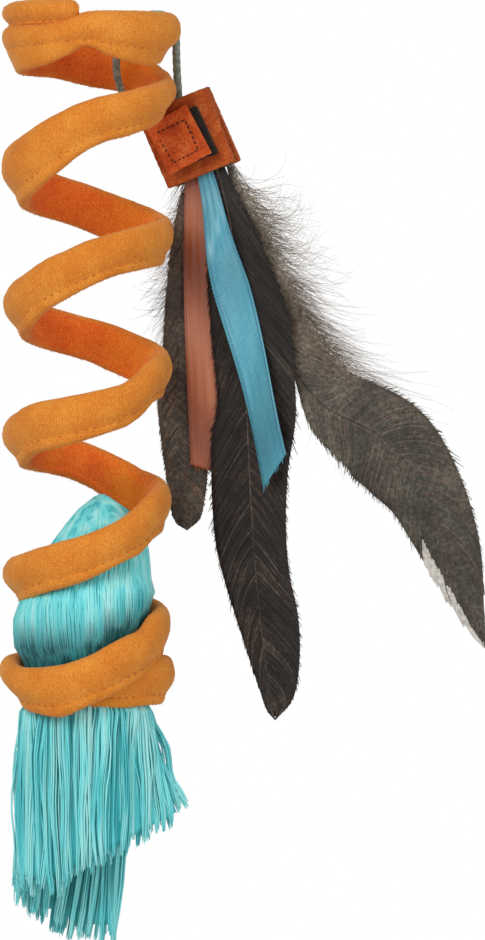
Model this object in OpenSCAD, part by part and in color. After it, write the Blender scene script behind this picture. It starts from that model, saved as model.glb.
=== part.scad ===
// Spring feather cat toy: a plush covered wire coil that hangs by its top ring,
// with a tassel bound into its lower end and a felt patch of ribbons and feathers on a cord.
// The origin is the centre of the top ring, Z is up and -Y is the front.

/* [Sleeve] */
// Outside diameter of the coil over the plush
coil_od = 51; // [46:1:60]
// Height of the plush band
sleeve_h = 14.4; // [12:0.2:16]
// Thickness of the plush where it is fullest
sleeve_t = 6.4; // [5:0.2:7.4]
// Height of the flat sewn seam allowance under the plush
seam_h = 4.2; // [2:0.2:5]
// Thickness of the seam allowance
seam_t = 2.4; // [1.6:0.2:3.2]
// Height of the folded end that lies on top of the ring
flap_h = 6.2; // [5:0.2:8]
// Length that the rounded ends of the sleeve take
sleeve_end = 4; // [2:0.5:6]

/* [Coil] */
// Number of open turns
coil_turns = 4; // [2:1:5]
// Drop of one open turn
coil_pitch = 39.6; // [36:0.2:48]
// Extra drop of the first open turn, which hangs the rest
first_turn_extra = 4.8; // [0:0.4:8]
// Height by which the right side of each turn stands above its middle
coil_lean = 1.8; // [0:0.2:3]
// Depth by which the lower turns sag in front, and rise behind
coil_sag = 3.5; // [0:0.5:4]
// Diameter of the spring wire inside the sleeve
wire_d = 1.8; // [1.2:0.1:2.4]
// Length of the vinyl tips on the wire
wire_tip_len = 3; // [2:0.5:5]

/* [Wraps] */
// Number of turns that bind the tassel
wrap_turns = 1.55; // [1.5:0.01:1.6]
// Drop of the wraps where they are lowest
wrap_drop = 18; // [17:0.5:20]

/* [Tassel] */
// Height of the tassel's head above the wraps
head_h = 44; // [36:1:50]
// Half width of the head's tip
head_tip_r = 3.5; // [2:0.5:5]
// Distance of the head's tip to the right of the coil's axis
head_shift = 6; // [0:0.5:8]
// Length of the neck inside the wraps
neck_len = 16; // [12:1:18]
// Length of the front layer under the wraps
front_skirt_len = 52; // [30:1:80]
// Length of the back layer under the wraps
back_skirt_len = 68; // [40:1:100]
// Half width of the skirt under the wraps
skirt_r = 19; // [15:0.5:22]
// Half width of the skirt at its free end
skirt_spread = 24; // [18:0.5:30]
// Height of the binding thread
binding_h = 5; // [3:0.5:7]
// Thickness of the binding thread
binding_t = 0.9; // [0.6:0.1:1.2]

/* [Patch] */
// Side of the two large felt squares
patch_side = 24.4; // [22:0.2:30]
// Side of the black felt square
spacer_side = 17; // [16:0.5:21]
// Side of the small felt square
face_side = 16; // [12:0.5:17]
// Thickness of the felt
felt_t = 2.6; // [2:0.1:3.2]
// Radius of the felt corners
felt_corner = 1.2; // [0.6:0.1:2]
// Depth of the cord's ends between the large squares
cord_hold = 3.1; // [2.6:0.1:3.4]
// Turn of the squares in their own plane
patch_roll = 23.5; // [0:0.5:30]
// Turn of the patch about the vertical
patch_yaw = 15; // [5:1:20]
// Further turn of the small squares on the large ones
face_turn = 8; // [0:1:10]
// Length of one stitch
stitch_len = 1.5; // [1:0.1:1.6]
// Thickness of the stitching thread
stitch_d = 0.7; // [0.4:0.1:1]
// Stitches on each side of the sewn square
stitch_count = 4; // [3:1:5]
// Side of the sewn square
stitch_square = 9.6; // [8:0.2:11]

/* [Ribbons] */
// Width of the satin ribbons
ribbon_w = 10; // [6:0.2:12]
// Width of the ribbons where they are gathered at the patch
ribbon_root_w = 4.4; // [3:0.2:5]
// Thickness of the ribbons
ribbon_t = 0.4; // [0.3:0.1:0.6]
// Length over which the ribbons open to their full width
ribbon_flare = 30; // [20:1:45]
// Length of the copper ribbon
copper_len = 92; // [60:1:120]
// Length of the blue ribbon
blue_len = 97; // [60:1:120]
// Lean of the copper ribbon to the right
copper_lean = 2; // [0:0.5:6]
// Lean of the blue ribbon to the right
blue_lean = 13.5; // [8:0.5:18]
// Rise of the slanted cut across a ribbon's end
ribbon_cut = 6; // [0:0.5:10]

/* [Feathers] */
// Thickness of a feather's shaft at the patch
quill_t = 1.1; // [0.8:0.1:1.4]
// Width of a feather's shaft at the patch
quill_w = 1.8; // [1.2:0.1:2.4]
// Thickness of a feather's vane
vane_t = 0.5; // [0.3:0.1:0.7]
// Length of the left feather below its root
left_len = 112; // [90:1:130]
// Length of the centre feather below its root
centre_len = 171; // [140:1:190]
// Length of the right feather below its root
right_len = 169; // [140:1:185]
// Greatest half width of the left feather
left_half_w = 8.5; // [6:0.5:9]
// Greatest half width of the centre feather
centre_half_w = 13.5; // [8:0.5:16]
// Greatest half width of the right feather
right_half_w = 12.5; // [8:0.5:16]

/* [Fits] */
// Gap between neighbouring turns that lie on each other
turn_gap = 0.8; // [0.6:0.1:1.2]
// Gap round the wire in its channel
wire_gap = 0.5; // [0.4:0.1:0.6]
// Gap between the plies held in the patch
ply_gap = 0.3; // [0.3:0.05:0.5]
// Gap between pieces that move on each other
run_gap = 0.3; // [0.3:0.05:0.5]
// Diameter of the hanging cord
cord_d = 2.5; // [2:0.1:2.5]

/* [Hidden] */
$fn = 48;

// Stations of the sleeve, counted in turns: the flap, the ring, the coil and the wraps follow each other.
flap_turns = 0.75;
coil_start = 1;
coil_end = coil_start + coil_turns;
sleeve_stop = coil_end + wrap_turns;
rings_per_turn = 14;
wrap_wave = 1.85;
tuck_start = coil_end + 1;
tuck_turns = 0.25;

coil_r = (coil_od - sleeve_t) / 2;
ring_drop = sleeve_h + coil_lean + turn_gap;
channel_r = wire_d / 2 + wire_gap;
bulge_h = sleeve_h - seam_h;
bulge_z = seam_h / 2;
tuck_depth = sleeve_t + turn_gap;

function smooth(x) = let (c = min(1, max(0, x))) c * c * (3 - 2 * c);
function ring_level(t) = -ring_drop * (0.4 * t + 0.6 * pow(t, 3));
function sag_share(t) = smooth((t - coil_start - 1.4) / 1.2);
function coil_level(t) =
    -ring_drop - coil_pitch * (t - coil_start) - first_turn_extra * smooth(t - coil_start)
    - coil_sag * sag_share(t) * sin(360 * t);
function wrap_level(t) = coil_level(coil_end) - wrap_drop * sin(180 * (t - coil_end) / wrap_wave);
function flap_share(t) = sin(90 * min(1, max(0, -t / flap_turns)));

// Height, radius and band height of the sleeve's middle at station t. The flap lies on the ring below it.
function sleeve_level(t) =
    t < 0 ? sleeve_level(t + 1) + (band_height(t) + sleeve_h) / 2 + turn_gap
        : (t < coil_start ? ring_level(t) : t < coil_end ? coil_level(t) : wrap_level(t))
          + coil_lean * smooth(2 * t - 1) * cos(360 * t);
function sleeve_radius(t) = coil_r - tuck_depth * smooth((t - tuck_start) / tuck_turns);
function band_height(t) = sleeve_h - (sleeve_h - flap_h) * flap_share(t);

// The sleeve's section: a full round over a thin seam allowance, as [radial, vertical] points.
round_angles = [for (i = [0 : 8]) -55 + i * 36.25];
seam_angles = [258, 282];
function sleeve_section(k) = concat(
    [for (a = round_angles) [sleeve_t / 2 * cos(a), k * (bulge_z + bulge_h / 2 * sin(a))]],
    [[-seam_t / 2, -k * sleeve_h / 2], [seam_t / 2, -k * sleeve_h / 2]]);
function round_section(r, k) =
    [for (a = concat(round_angles, seam_angles)) [r * cos(a), k * bulge_z + r * sin(a)]];
section_n = len(round_angles) + len(seam_angles);

// Section points carried to station t of the sleeve.
function at_station(t, section) = [for (p = section)
    [(sleeve_radius(t) + p[0]) * cos(-360 * t), (sleeve_radius(t) + p[0]) * sin(-360 * t),
     sleeve_level(t) + p[1]]];
function band_share(t) = band_height(t) / sleeve_h;
function shrink(section, c, k) = [for (p = section) [p[0] * k, c + (p[1] - c) * k]];
function turns_of(length) = length / (2 * PI * coil_r);

// Stations of the wire channel: its tip, the start of the wire, a regular grid, and the same at the end.
tip_top_start = -flap_turns + turns_of(1.5 * sleeve_end + run_gap);
tip_top_stop = tip_top_start + turns_of(wire_tip_len);
wire_first = tip_top_stop + turns_of(run_gap);
tip_bottom_stop = sleeve_stop - turns_of(1.5 * sleeve_end + run_gap);
tip_bottom_start = tip_bottom_stop - turns_of(wire_tip_len);
wire_last = tip_bottom_start - turns_of(run_gap);
grid = [for (i = [ceil(wire_first * rings_per_turn) : floor(wire_last * rings_per_turn)])
    i / rings_per_turn];
channel_stations = concat([tip_top_stop, wire_first], grid, [wire_last, tip_bottom_start]);
function stations(a, b) =
    concat([a], [for (t = channel_stations) if (t > a + 0.004 && t < b - 0.004) t], [b]);

// Faces of a tube of rings of n points, and of its two ends.
function side_faces(first, rings, n, flip = false) = [for (i = [0 : rings - 2], k = [0 : n - 1])
    let (a = first + i * n + k, b = first + i * n + (k + 1) % n)
    each flip ? [[a, b, b + n], [a, b + n, a + n]] : [[a, b + n, b], [a, a + n, b + n]]];
function ring_face(first, n, flip = false) =
    flip ? [for (k = [n - 1 : -1 : 0]) first + k] : [for (k = [0 : n - 1]) first + k];
function rim_faces(outer, inner, n, flip = false) = [for (k = [0 : n - 1]) let (j = (k + 1) % n)
    each flip ? [[outer + j, outer + k, inner + k], [outer + j, inner + k, inner + j]]
              : [[outer + k, outer + j, inner + j], [outer + k, inner + j, inner + k]]];

module solid_tube(rings) {
    n = len(rings[0]);
    polyhedron([for (r = rings) each r],
        concat(side_faces(0, len(rings), n), [ring_face(0, n)],
            [ring_face((len(rings) - 1) * n, n, true)]));
}

// A stretch of sleeve with its wire channel; a closed end is rounded and keeps the channel inside.
module sleeve_stretch(a, b, close_a = false, close_b = false) {
    tip = turns_of(sleeve_end);
    body = stations(close_a ? a + tip : a, close_b ? b - tip : b);
    bore = stations(close_a ? a + 1.5 * tip : a, close_b ? b - 1.5 * tip : b);
    head = close_a ? [for (q = [0, 0.3, 0.65]) [a + tip * q, sqrt(1 - pow(1 - q - 0.05, 2))]] : [];
    tail = close_b ? [for (q = [0.65, 0.3, 0]) [b - tip * q, sqrt(1 - pow(1 - q - 0.05, 2))]] : [];
    outer = concat(
        [for (s = head) at_station(s[0], shrink(sleeve_section(band_share(s[0])), 0, s[1]))],
        [for (t = body) at_station(t, sleeve_section(band_share(t)))],
        [for (s = tail) at_station(s[0], shrink(sleeve_section(band_share(s[0])), 0, s[1]))]);
    inner = [for (t = bore) at_station(t, round_section(channel_r, band_share(t)))];
    n = section_n;
    m = len(outer) * n;
    last_o = m - n;
    last_i = m + (len(inner) - 1) * n;
    polyhedron(concat([for (r = outer) each r], [for (r = inner) each r]),
        concat(side_faces(0, len(outer), n), side_faces(m, len(inner), n, true),
            close_a ? [ring_face(0, n), ring_face(m, n, true)] : rim_faces(0, m, n),
            close_b ? [ring_face(last_o, n, true), ring_face(last_i, n)]
                : rim_faces(last_o, last_i, n, true)));
}

tip_d = wire_d + wire_gap;

module top_ring() color("darkorange")
    sleeve_stretch(-flap_turns, coil_start, close_a = true);

module coil_sleeve() color("orange")
    sleeve_stretch(coil_start, coil_end - turns_of(run_gap));

module tassel_wrap() color("darkorange")
    sleeve_stretch(coil_end, sleeve_stop, close_b = true);

module spring_wire() color("silver")
    solid_tube([for (t = stations(wire_first, wire_last)) at_station(t, [for (a = [0 : 60 : 300])
        [wire_d / 2 * cos(a), band_share(t) * bulge_z + wire_d / 2 * sin(a)]])]);

module wire_tip(a, b) color("dimgray")
    solid_tube([for (q = [0, 0.5, 1]) let (t = a + (b - a) * q) at_station(t, [for (g = [0 : 60 : 300])
        [tip_d / 2 * cos(g), band_share(t) * bulge_z + tip_d / 2 * sin(g)]])]);

module wire_tip_top() wire_tip(tip_top_start, tip_top_stop);

module wire_tip_bottom() wire_tip(tip_bottom_start, tip_bottom_stop);

// The tassel hangs in the wraps: its waist is held inside the tucked end of the sleeve.
wrap_z = coil_level(coil_end);
chord = cos(180 / rings_per_turn);
waist_r = (coil_r - tuck_depth - sleeve_t / 2) * chord - run_gap;
neck_r = waist_r - binding_t - run_gap;
body_r = (coil_r - sleeve_t / 2) * chord - run_gap;
head_bottom = wrap_z - neck_len;
wrap_bottom = wrap_z - wrap_drop - sleeve_h / 2;
strand_wave = 0.03;
head_sides = 32;

// A horizontal ring of strands: every second point lies in a hollow between two locks.
function lock(i, wave) = i % 2 == 0 ? 1 : 1 - wave;
function bundle_ring(z, r, cx) = [for (i = [0 : head_sides - 1])
    let (a = -360 * i / head_sides, k = r * lock(i, strand_wave)) [cx + k * cos(a), k * sin(a), z]];

module tassel_head() color("mediumturquoise")
    solid_tube([
        bundle_ring(wrap_z + head_h, head_tip_r, head_shift),
        bundle_ring(wrap_z + head_h * 0.86, (head_tip_r * 3 + body_r) / 4, head_shift * 0.83),
        bundle_ring(wrap_z + head_h * 0.66, (head_tip_r + body_r * 2) / 3, head_shift * 0.42),
        bundle_ring(wrap_z + head_h * 0.4, body_r * 0.97, head_shift * 0.08),
        bundle_ring(wrap_z + head_h * 0.18, body_r, 0),
        bundle_ring(wrap_z + head_h * 0.05, body_r * 0.92, 0),
        bundle_ring(wrap_z - neck_len * 0.16, neck_r, 0),
        bundle_ring(head_bottom, neck_r, 0)]);

module tassel_binding() color("teal")
    translate([0, 0, wrap_z - 6 - binding_h]) difference() {
        cylinder(h = binding_h, r = waist_r);
        translate([0, 0, -1]) cylinder(h = binding_h + 2, r = waist_r - binding_t);
    }

// Half of the skirt in front of (side -1) or behind (side 1) the middle plane.
skirt_sides = 26;
function half_ring(side, z, rx, ry, cx, wave, slant = 0, jag = 0) = [for (i = [0 : skirt_sides])
    let (a = side < 0 ? 360 - 180 * i / skirt_sides : 180 - 180 * i / skirt_sides, k = lock(i, wave))
    [cx + rx * k * cos(a), side * run_gap / 2 + ry * k * sin(a),
     z + slant * cos(a) * k + (i % 2 == 0 ? jag : 0) + (i % 5 == 0 ? jag : 0)]];
module half_skirt(side, len, end_rx, end_cx, slant) {
    depth = 0.75;
    free_end = wrap_bottom - len;
    solid_tube([
        half_ring(side, head_bottom - run_gap, neck_r * 0.2, neck_r * 0.2, 0, 0),
        half_ring(side, head_bottom - run_gap - 2, neck_r * 0.9, neck_r * 0.9, 0, 0),
        half_ring(side, wrap_bottom - 0.8, neck_r * 0.95, neck_r * 0.95, 0, 0),
        half_ring(side, wrap_bottom - 3.3, skirt_r, skirt_r * depth, 0, strand_wave),
        half_ring(side, wrap_bottom - len * 0.4, (skirt_r + end_rx) / 2, skirt_r * depth,
            end_cx * 0.6, 0.05),
        half_ring(side, free_end, end_rx, skirt_r * depth, end_cx, 0.07, slant, 2.5),
        half_ring(side, free_end + 4, end_rx * 0.6, skirt_r * depth * 0.6, end_cx, 0, slant * 0.6)]);
}

module tassel_front_skirt() color("mediumturquoise")
    half_skirt(-1, front_skirt_len, skirt_spread, 4, 12);

module tassel_back_skirt() color("turquoise")
    half_skirt(1, back_skirt_len, skirt_spread * 0.75, -3, 3);

// The hanging cord's route: from the patch, under the ring's lower turn, up inside the ring,
// over its top and down outside to the patch again.
cord_route = [
    [24.2, 16.6, -21.4], [21, 17.6, -20.6], [18.4, 18.4, -20.8], [16, 17.6, -21.2], [13.2, 14.8, -21],
    [11, 11, -17.5], [9, 8, -11], [9, 6.5, -4], [11, 5.5, 3], [14.5, 5.5, 7.5], [18.5, 6.2, 9.5],
    [22, 7, 9.7], [24.9, 7.8, 8.2], [26.4, 8.4, 5], [26.7, 8.8, 0], [26.8, 10, -6], [27, 12.6, -11],
    [27.3, 15, -15.5], [27.3, 15.7, -18.5], [27.3, 15.8, -21]];
cord_axis = [-0.31, 0.95, 0];
function unit(v) = v / norm(v);
function cord_heading(i) = unit(cord_route[min(i + 1, len(cord_route) - 1)] - cord_route[max(i - 1, 0)]);
function cord_ring(i) = let (h = cord_heading(i), s = unit(cross(h, cord_axis)), v = cross(h, s))
    [for (a = [0 : 45 : 315]) cord_route[i] + cord_d / 2 * (cos(a) * s + sin(a) * v)];

module hanging_cord() color("darkseagreen")
    solid_tube([for (i = [0 : len(cord_route) - 1]) cord_ring(i)]);

// The patch hangs from the cord's ends. Its plies lie in one plane, turned about the vertical,
// where x runs to the right, y runs back through the plies and z is up.
hang_point = [25.8, 16.2, -21.6];
pocket = 2 * ribbon_t + 3 * quill_t + 6 * ply_gap;
patch_reach = patch_side / 2 - cord_hold;
patch_shift = 0.9;
core_top = 2.6;
core_h = 10;
core_inset = 3;
spacer_shift = [-0.4, -0.9];
face_shift = [-1.4, -1.2];

module in_patch() translate(hang_point) rotate([0, 0, -patch_yaw]) children();

module ply(front, thickness) translate([0, front + thickness, 0]) rotate([90, 0, 0])
    linear_extrude(thickness) children();

module rolled() rotate(patch_roll) translate([patch_shift, -patch_reach]) children();

module felt_square(side) {
    square([side - 2 * felt_corner, side], center = true);
    square([side, side - 2 * felt_corner], center = true);
    for (x = [-1, 1], y = [-1, 1])
        translate([x, y] * (side / 2 - felt_corner)) circle(felt_corner);
}

module patch_back() color("chocolate")
    in_patch() ply(pocket / 2, felt_t) rolled() felt_square(patch_side);

module patch_core() color("saddlebrown")
    in_patch() ply(-pocket / 2, pocket) rotate(patch_roll)
        translate([patch_shift - patch_side / 2 + core_inset, -core_top - core_h])
            square([patch_side - 2 * core_inset, core_h]);

module patch_front() color("chocolate")
    in_patch() ply(-pocket / 2 - felt_t, felt_t) rolled() felt_square(patch_side);

module patch_spacer() color("black")
    in_patch() ply(-pocket / 2 - 2 * felt_t, felt_t)
        translate(spacer_shift) rolled() rotate(face_turn) felt_square(spacer_side);

module patch_face() color("chocolate")
    in_patch() ply(-pocket / 2 - 3 * felt_t, felt_t) translate(face_shift) rolled()
        rotate(face_turn) felt_square(face_side);

module patch_stitches() color("maroon")
    in_patch() ply(-pocket / 2 - 3 * felt_t - stitch_d, stitch_d) translate(face_shift) rolled()
        for (turn = [0 : 90 : 270], i = [0 : stitch_count - 1])
            rotate(face_turn + turn)
                translate([(i + 0.5) * stitch_square / stitch_count - stitch_square / 2, stitch_square / 2])
                    square([stitch_len, stitch_d], center = true);

// Front faces of the plies that hang out of the patch, from the front one to the back one.
blue_ply = -pocket / 2 + ply_gap;
centre_ply = blue_ply + ribbon_t + ply_gap;
copper_ply = centre_ply + quill_t + ply_gap;
left_ply = copper_ply + ribbon_t + ply_gap;
right_ply = left_ply + quill_t + ply_gap;
copper_root = patch_side * [0.27, -0.574];
blue_root = patch_side * [0.418, -0.574];

module ribbon(root, front, len, lean, cut) in_patch() ply(front, ribbon_t) translate(root) rotate(lean)
    polygon([[-ribbon_root_w / 2, 0], [ribbon_root_w / 2, 0], [ribbon_w / 2, -ribbon_flare],
             [ribbon_w / 2, -len + max(0, cut)], [-ribbon_w / 2, -len + max(0, -cut)],
             [-ribbon_w / 2, -ribbon_flare]]);

module copper_ribbon() color("sienna")
    ribbon(copper_root, copper_ply, copper_len, copper_lean, -ribbon_cut / 2);

module blue_ribbon() color("deepskyblue") ribbon(blue_root, blue_ply, blue_len, blue_lean, ribbon_cut);

// A feather: its shaft bends along a curve of four points, and the vane widens and closes along it.
feather_steps = 28;
function shaft(root, len, curve) = [for (p = curve) root + len * p];
left_shaft = shaft(patch_side * [0.217, -0.574], left_len,
    [[0, 0], [-0.024, -0.405], [-0.06, -0.69], [-0.01, -1]]);
centre_shaft = shaft(patch_side * [0.512, -0.533], centre_len,
    [[0, 0], [0.09, -0.25], [0.04, -0.62], [0.115, -0.994]]);
right_shaft = shaft(patch_side * [0.635, -0.512], right_len,
    [[0, 0], [0.2, -0.82], [0.245, -0.155], [0.48, -0.88]]);
function bend(c, s) = pow(1 - s, 3) * c[0] + 3 * s * pow(1 - s, 2) * c[1]
    + 3 * s * s * (1 - s) * c[2] + pow(s, 3) * c[3];
function along(c, s) = unit(pow(1 - s, 2) * (c[1] - c[0]) + 2 * s * (1 - s) * (c[2] - c[1])
    + s * s * (c[3] - c[2]));
function across(c, s) = let (d = along(c, s)) [-d[1], d[0]];
function vane_share(q) = 1.95 * pow(q, 0.5) * pow(1 - q, 0.46);
function edge(c, start, half, side) = [for (i = [0 : feather_steps])
    let (q = i / feather_steps, s = start + (1 - start) * q)
    bend(c, s) + side * half * vane_share(q) * across(c, s)];
function shaft_side(c, side) = [for (i = [0 : feather_steps])
    let (s = i / feather_steps) bend(c, s) + side * (quill_w / 2 * (1 - 0.8 * s)) * across(c, s)];
function reversed(list) = [for (i = [len(list) - 1 : -1 : 0]) list[i]];

module feather(c, front, half, start) in_patch() {
    ply(front, quill_t) polygon(concat(shaft_side(c, 1), reversed(shaft_side(c, -1))));
    ply(front + (quill_t - vane_t) / 2, vane_t)
        polygon(concat(edge(c, start, half, 1), reversed(edge(c, start, half, -1))));
}

module feather_left() color("dimgray") feather(left_shaft, left_ply, left_half_w, 0.14);

module feather_centre() color("darkslategray") feather(centre_shaft, centre_ply, centre_half_w, 0.15);

module feather_right() color("slategray") feather(right_shaft, right_ply, right_half_w, 0.27);

// The least gap of the sleeve to itself, measured from turn to turn on the points of its sections.
tip_turns = turns_of(sleeve_end);
gap_rings = [for (t = stations(tip_turns - flap_turns, sleeve_stop - tip_turns))
    at_station(t, sleeve_section(band_share(t)))];
self_gap = min([for (i = [0 : len(gap_rings) - rings_per_turn + 1],
    j = [i + rings_per_turn - 2 : min(i + rings_per_turn + 2, len(gap_rings) - 1)])
    min([for (p = gap_rings[i], q = gap_rings[j]) norm(p - q)])]);
echo(least_gap_of_the_sleeve_to_itself = self_gap);

top_ring();
coil_sleeve();
tassel_wrap();
spring_wire();
wire_tip_top();
wire_tip_bottom();
tassel_head();
tassel_binding();
tassel_front_skirt();
tassel_back_skirt();
hanging_cord();
patch_back();
patch_core();
patch_front();
patch_spacer();
patch_face();
patch_stitches();
copper_ribbon();
blue_ribbon();
feather_left();
feather_centre();
feather_right();
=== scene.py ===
# %% [markdown]
# # A spring cat toy with feathers
# The toy is a wire coil in an orange plush sleeve. It hangs by its top ring, holds an aqua tassel in its
# lower wraps, and carries a felt patch with two satin ribbons and three feathers on a cord.
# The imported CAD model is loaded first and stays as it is: every piece made here is in its frame, in metres,
# with the origin at the centre of the top ring, Z up and the front towards -Y.

# %% Load the frame
import random
from math import cos, exp, hypot, pi, radians, sin, sqrt

import bmesh
import bpy
from mathutils import Matrix, Vector, noise


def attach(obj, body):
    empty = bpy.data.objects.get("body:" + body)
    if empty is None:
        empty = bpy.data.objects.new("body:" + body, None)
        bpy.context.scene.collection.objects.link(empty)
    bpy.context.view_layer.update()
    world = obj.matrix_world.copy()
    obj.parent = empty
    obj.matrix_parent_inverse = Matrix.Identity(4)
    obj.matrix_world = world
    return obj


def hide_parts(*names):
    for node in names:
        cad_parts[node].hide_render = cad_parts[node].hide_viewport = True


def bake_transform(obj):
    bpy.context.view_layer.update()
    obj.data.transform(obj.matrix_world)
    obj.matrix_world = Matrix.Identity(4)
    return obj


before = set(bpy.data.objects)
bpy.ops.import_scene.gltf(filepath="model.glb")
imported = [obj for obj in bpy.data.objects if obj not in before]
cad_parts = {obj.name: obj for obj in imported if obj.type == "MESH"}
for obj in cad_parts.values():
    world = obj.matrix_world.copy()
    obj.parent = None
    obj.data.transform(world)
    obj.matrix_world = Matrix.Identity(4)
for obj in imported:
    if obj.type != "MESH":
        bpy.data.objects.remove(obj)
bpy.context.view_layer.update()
MM = 0.001
TURN = 2 * pi
scene = bpy.context.scene

# %% [markdown]
# ## The camera
# The photograph was taken level with the toy and from far away, because the front and back of each turn of
# the coil look equally wide. So a very long lens stands 6 m in front. A picture of 485 by 940 pixels holds
# 282 mm of height, and its middle lies 46.7 mm right of the coil's axis and 129.6 mm below the ring's centre.

# %% Camera
PICTURE_W, PICTURE_H = 485, 940
RING_X, RING_Y = 87, 38  # the ring's centre in the picture, in pixels from its top left
PIXEL = 0.3 * MM
CAMERA_AWAY = 6.0
SENSOR = 36

lens = bpy.data.cameras.new("camera")
lens.sensor_width = SENSOR
lens.lens = SENSOR * CAMERA_AWAY / (PICTURE_H * PIXEL)
camera = bpy.data.objects.new("camera", lens)
camera.location = ((PICTURE_W / 2 - RING_X) * PIXEL, -CAMERA_AWAY, (RING_Y - PICTURE_H / 2) * PIXEL)
camera.rotation_euler = (radians(90), 0, 0)
scene.collection.objects.link(camera)
scene.camera = camera
print("lens %.0f mm" % lens.lens)

# %% [markdown]
# ## Helpers for materials
# Colours are written as sRGB hex values, as a paint chart gives them, and one function turns them to the
# linear numbers that shaders add up. Each of the others adds one node or one common group of nodes and gives
# back its output, so that a material reads as a short list of steps.

# %% Material helpers
def hex_colour(code):
    parts = [int(code[i:i + 2], 16) / 255 for i in (1, 3, 5)]
    return tuple(c / 12.92 if c <= 0.04045 else ((c + 0.055) / 1.055) ** 2.4 for c in parts) + (1.0,)


def add_node(tree, kind, settings=(), links=(), values=()):
    node = tree.nodes.new("ShaderNode" + kind)
    for name, value in dict(settings).items():
        setattr(node, name, value)
    for name, value in dict(values).items():
        node.inputs[name].default_value = value
    for name, output in dict(links).items():
        tree.links.new(output, node.inputs[name])
    return node


def new_material(name, sheen_tint="#FFFFFF", **finish):
    """finish gives settings of the shader by name, such as roughness, ior or sheen_weight."""
    material = bpy.data.materials.new(name)
    material.use_nodes = True
    shader = material.node_tree.nodes["Principled BSDF"]
    shader.inputs["Sheen Tint"].default_value = hex_colour(sheen_tint)
    for setting, value in finish.items():
        socket = "IOR" if setting == "ior" else setting.replace("_", " ").title()
        shader.inputs[socket].default_value = value
    return material, material.node_tree, shader


print("material helpers ready")


# %% Steps of a shader
def maths(tree, operation, *terms):
    """One step of arithmetic. Each term is a number or the output of a node."""
    node = add_node(tree, "Math", {"operation": operation})
    for socket, term in zip(node.inputs, terms):
        if isinstance(term, (int, float)):
            socket.default_value = term
        else:
            tree.links.new(term, socket)
    return node.outputs[0]


def attribute(tree, name):
    return add_node(tree, "Attribute", {"attribute_name": name}).outputs["Fac"]


def on_piece(tree):
    """Object coordinates, which stay with a piece when it moves."""
    return add_node(tree, "TexCoord").outputs["Object"]


def scaled(tree, place, *scale):
    return add_node(tree, "Mapping", links={"Vector": place}, values={"Scale": scale}).outputs["Vector"]


def spots(tree, place, scale, detail, **more):
    """Soft noise; scale is about the number of spots in a unit of the place it is given."""
    values = {"Scale": scale, "Detail": detail, **{name.title(): value for name, value in more.items()}}
    return add_node(tree, "TexNoise", links={"Vector": place}, values=values).outputs["Fac"]


def colour_ramp(tree, factor, *stops):
    ramp = add_node(tree, "ValToRGB", links={"Fac": factor})
    elements = ramp.color_ramp.elements
    while len(elements) < len(stops):
        elements.new(0.5)
    for element, (position, code) in zip(elements, stops):
        element.position = position
        element.color = hex_colour(code)
    return ramp.outputs["Color"]


def colour_mix(tree, factor, first, second):
    """The second colour is a hex value or the output of a node."""
    node = add_node(tree, "Mix", {"data_type": "RGBA"}, {0: factor, 6: first})
    if isinstance(second, str):
        node.inputs[7].default_value = hex_colour(second)
    else:
        tree.links.new(second, node.inputs[7])
    return node.outputs[2]


def dress(tree, shader, colour, height=None, strength=0.0, relief=0.0):
    """Gives a material its colour and, where a height is given, its relief in millimetres."""
    tree.links.new(colour, shader.inputs["Base Color"])
    if height is not None:
        bump = add_node(tree, "Bump", links={"Height": height},
                        values={"Strength": strength, "Distance": relief * MM})
        tree.links.new(bump.outputs["Normal"], shader.inputs["Normal"])


def mottled(name, scale, detail, dark, light, strength=0.0, **finish):
    """A plain finish in two close tones, with fine relief where it has a strength."""
    material, tree, shader = new_material(name, **finish)
    tone = spots(tree, on_piece(tree), scale, detail)
    colour = colour_ramp(tree, tone, (0.3, dark), (0.7, light))
    dress(tree, shader, colour, tone if strength else None, strength, 0.1)
    return material


print("shader steps ready")


# %% [markdown]
# ## Helpers for meshes
# A swept piece starts as one ring of a circle. Its open edge is extruded from station to station, and each
# new ring is moved to its place, as one would pull a tube over a wire. Many thin strands, such as tassel
# threads, feather barbs and fluff, are drawn as splines of one curve with a small round bevel, then made a mesh.

# %% Mesh helpers
def piece_from(bm, name, material):
    bmesh.ops.recalc_face_normals(bm, faces=bm.faces)
    mesh = bpy.data.meshes.new(name)
    bm.to_mesh(mesh)
    bm.free()
    return linked_piece(mesh, name, material)


def linked_piece(mesh, name, material):
    for polygon in mesh.polygons:
        polygon.use_smooth = True
    mesh.materials.append(material)
    piece = bpy.data.objects.new(name, mesh)
    scene.collection.objects.link(piece)
    return piece


def swept_tube(rings, along=None):
    """Extrudes a ring from place to place; each item of rings is a list of points.
    The attributes along (metres) and around (share of a turn) tell a material where it is on the tube."""
    bm = bmesh.new()
    run = bm.verts.layers.float.new("along")
    turn = bm.verts.layers.float.new("around")
    count = len(rings[0])
    ring = bmesh.ops.create_circle(bm, segments=count, radius=1)["verts"]
    edges = list(bm.edges)
    for i, points in enumerate(rings):
        if i:
            grown = bmesh.ops.extrude_edge_only(bm, edges=edges)["geom"]
            old = set(ring)
            partner = {}
            for v in (g for g in grown if isinstance(g, bmesh.types.BMVert)):
                for e in v.link_edges:
                    if e.other_vert(v) in old:
                        partner[e.other_vert(v)] = v
            ring = [partner[v] for v in ring]
            fresh = set(ring)
            edges = [g for g in grown if isinstance(g, bmesh.types.BMEdge) and fresh.issuperset(g.verts)]
        else:
            bmesh.ops.contextual_create(bm, geom=edges)
        for k, (v, point) in enumerate(zip(ring, points)):
            v.co = point
            v[run] = along[i] if along else 0.0
            v[turn] = k / count
    bmesh.ops.contextual_create(bm, geom=edges)
    return bm


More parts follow.
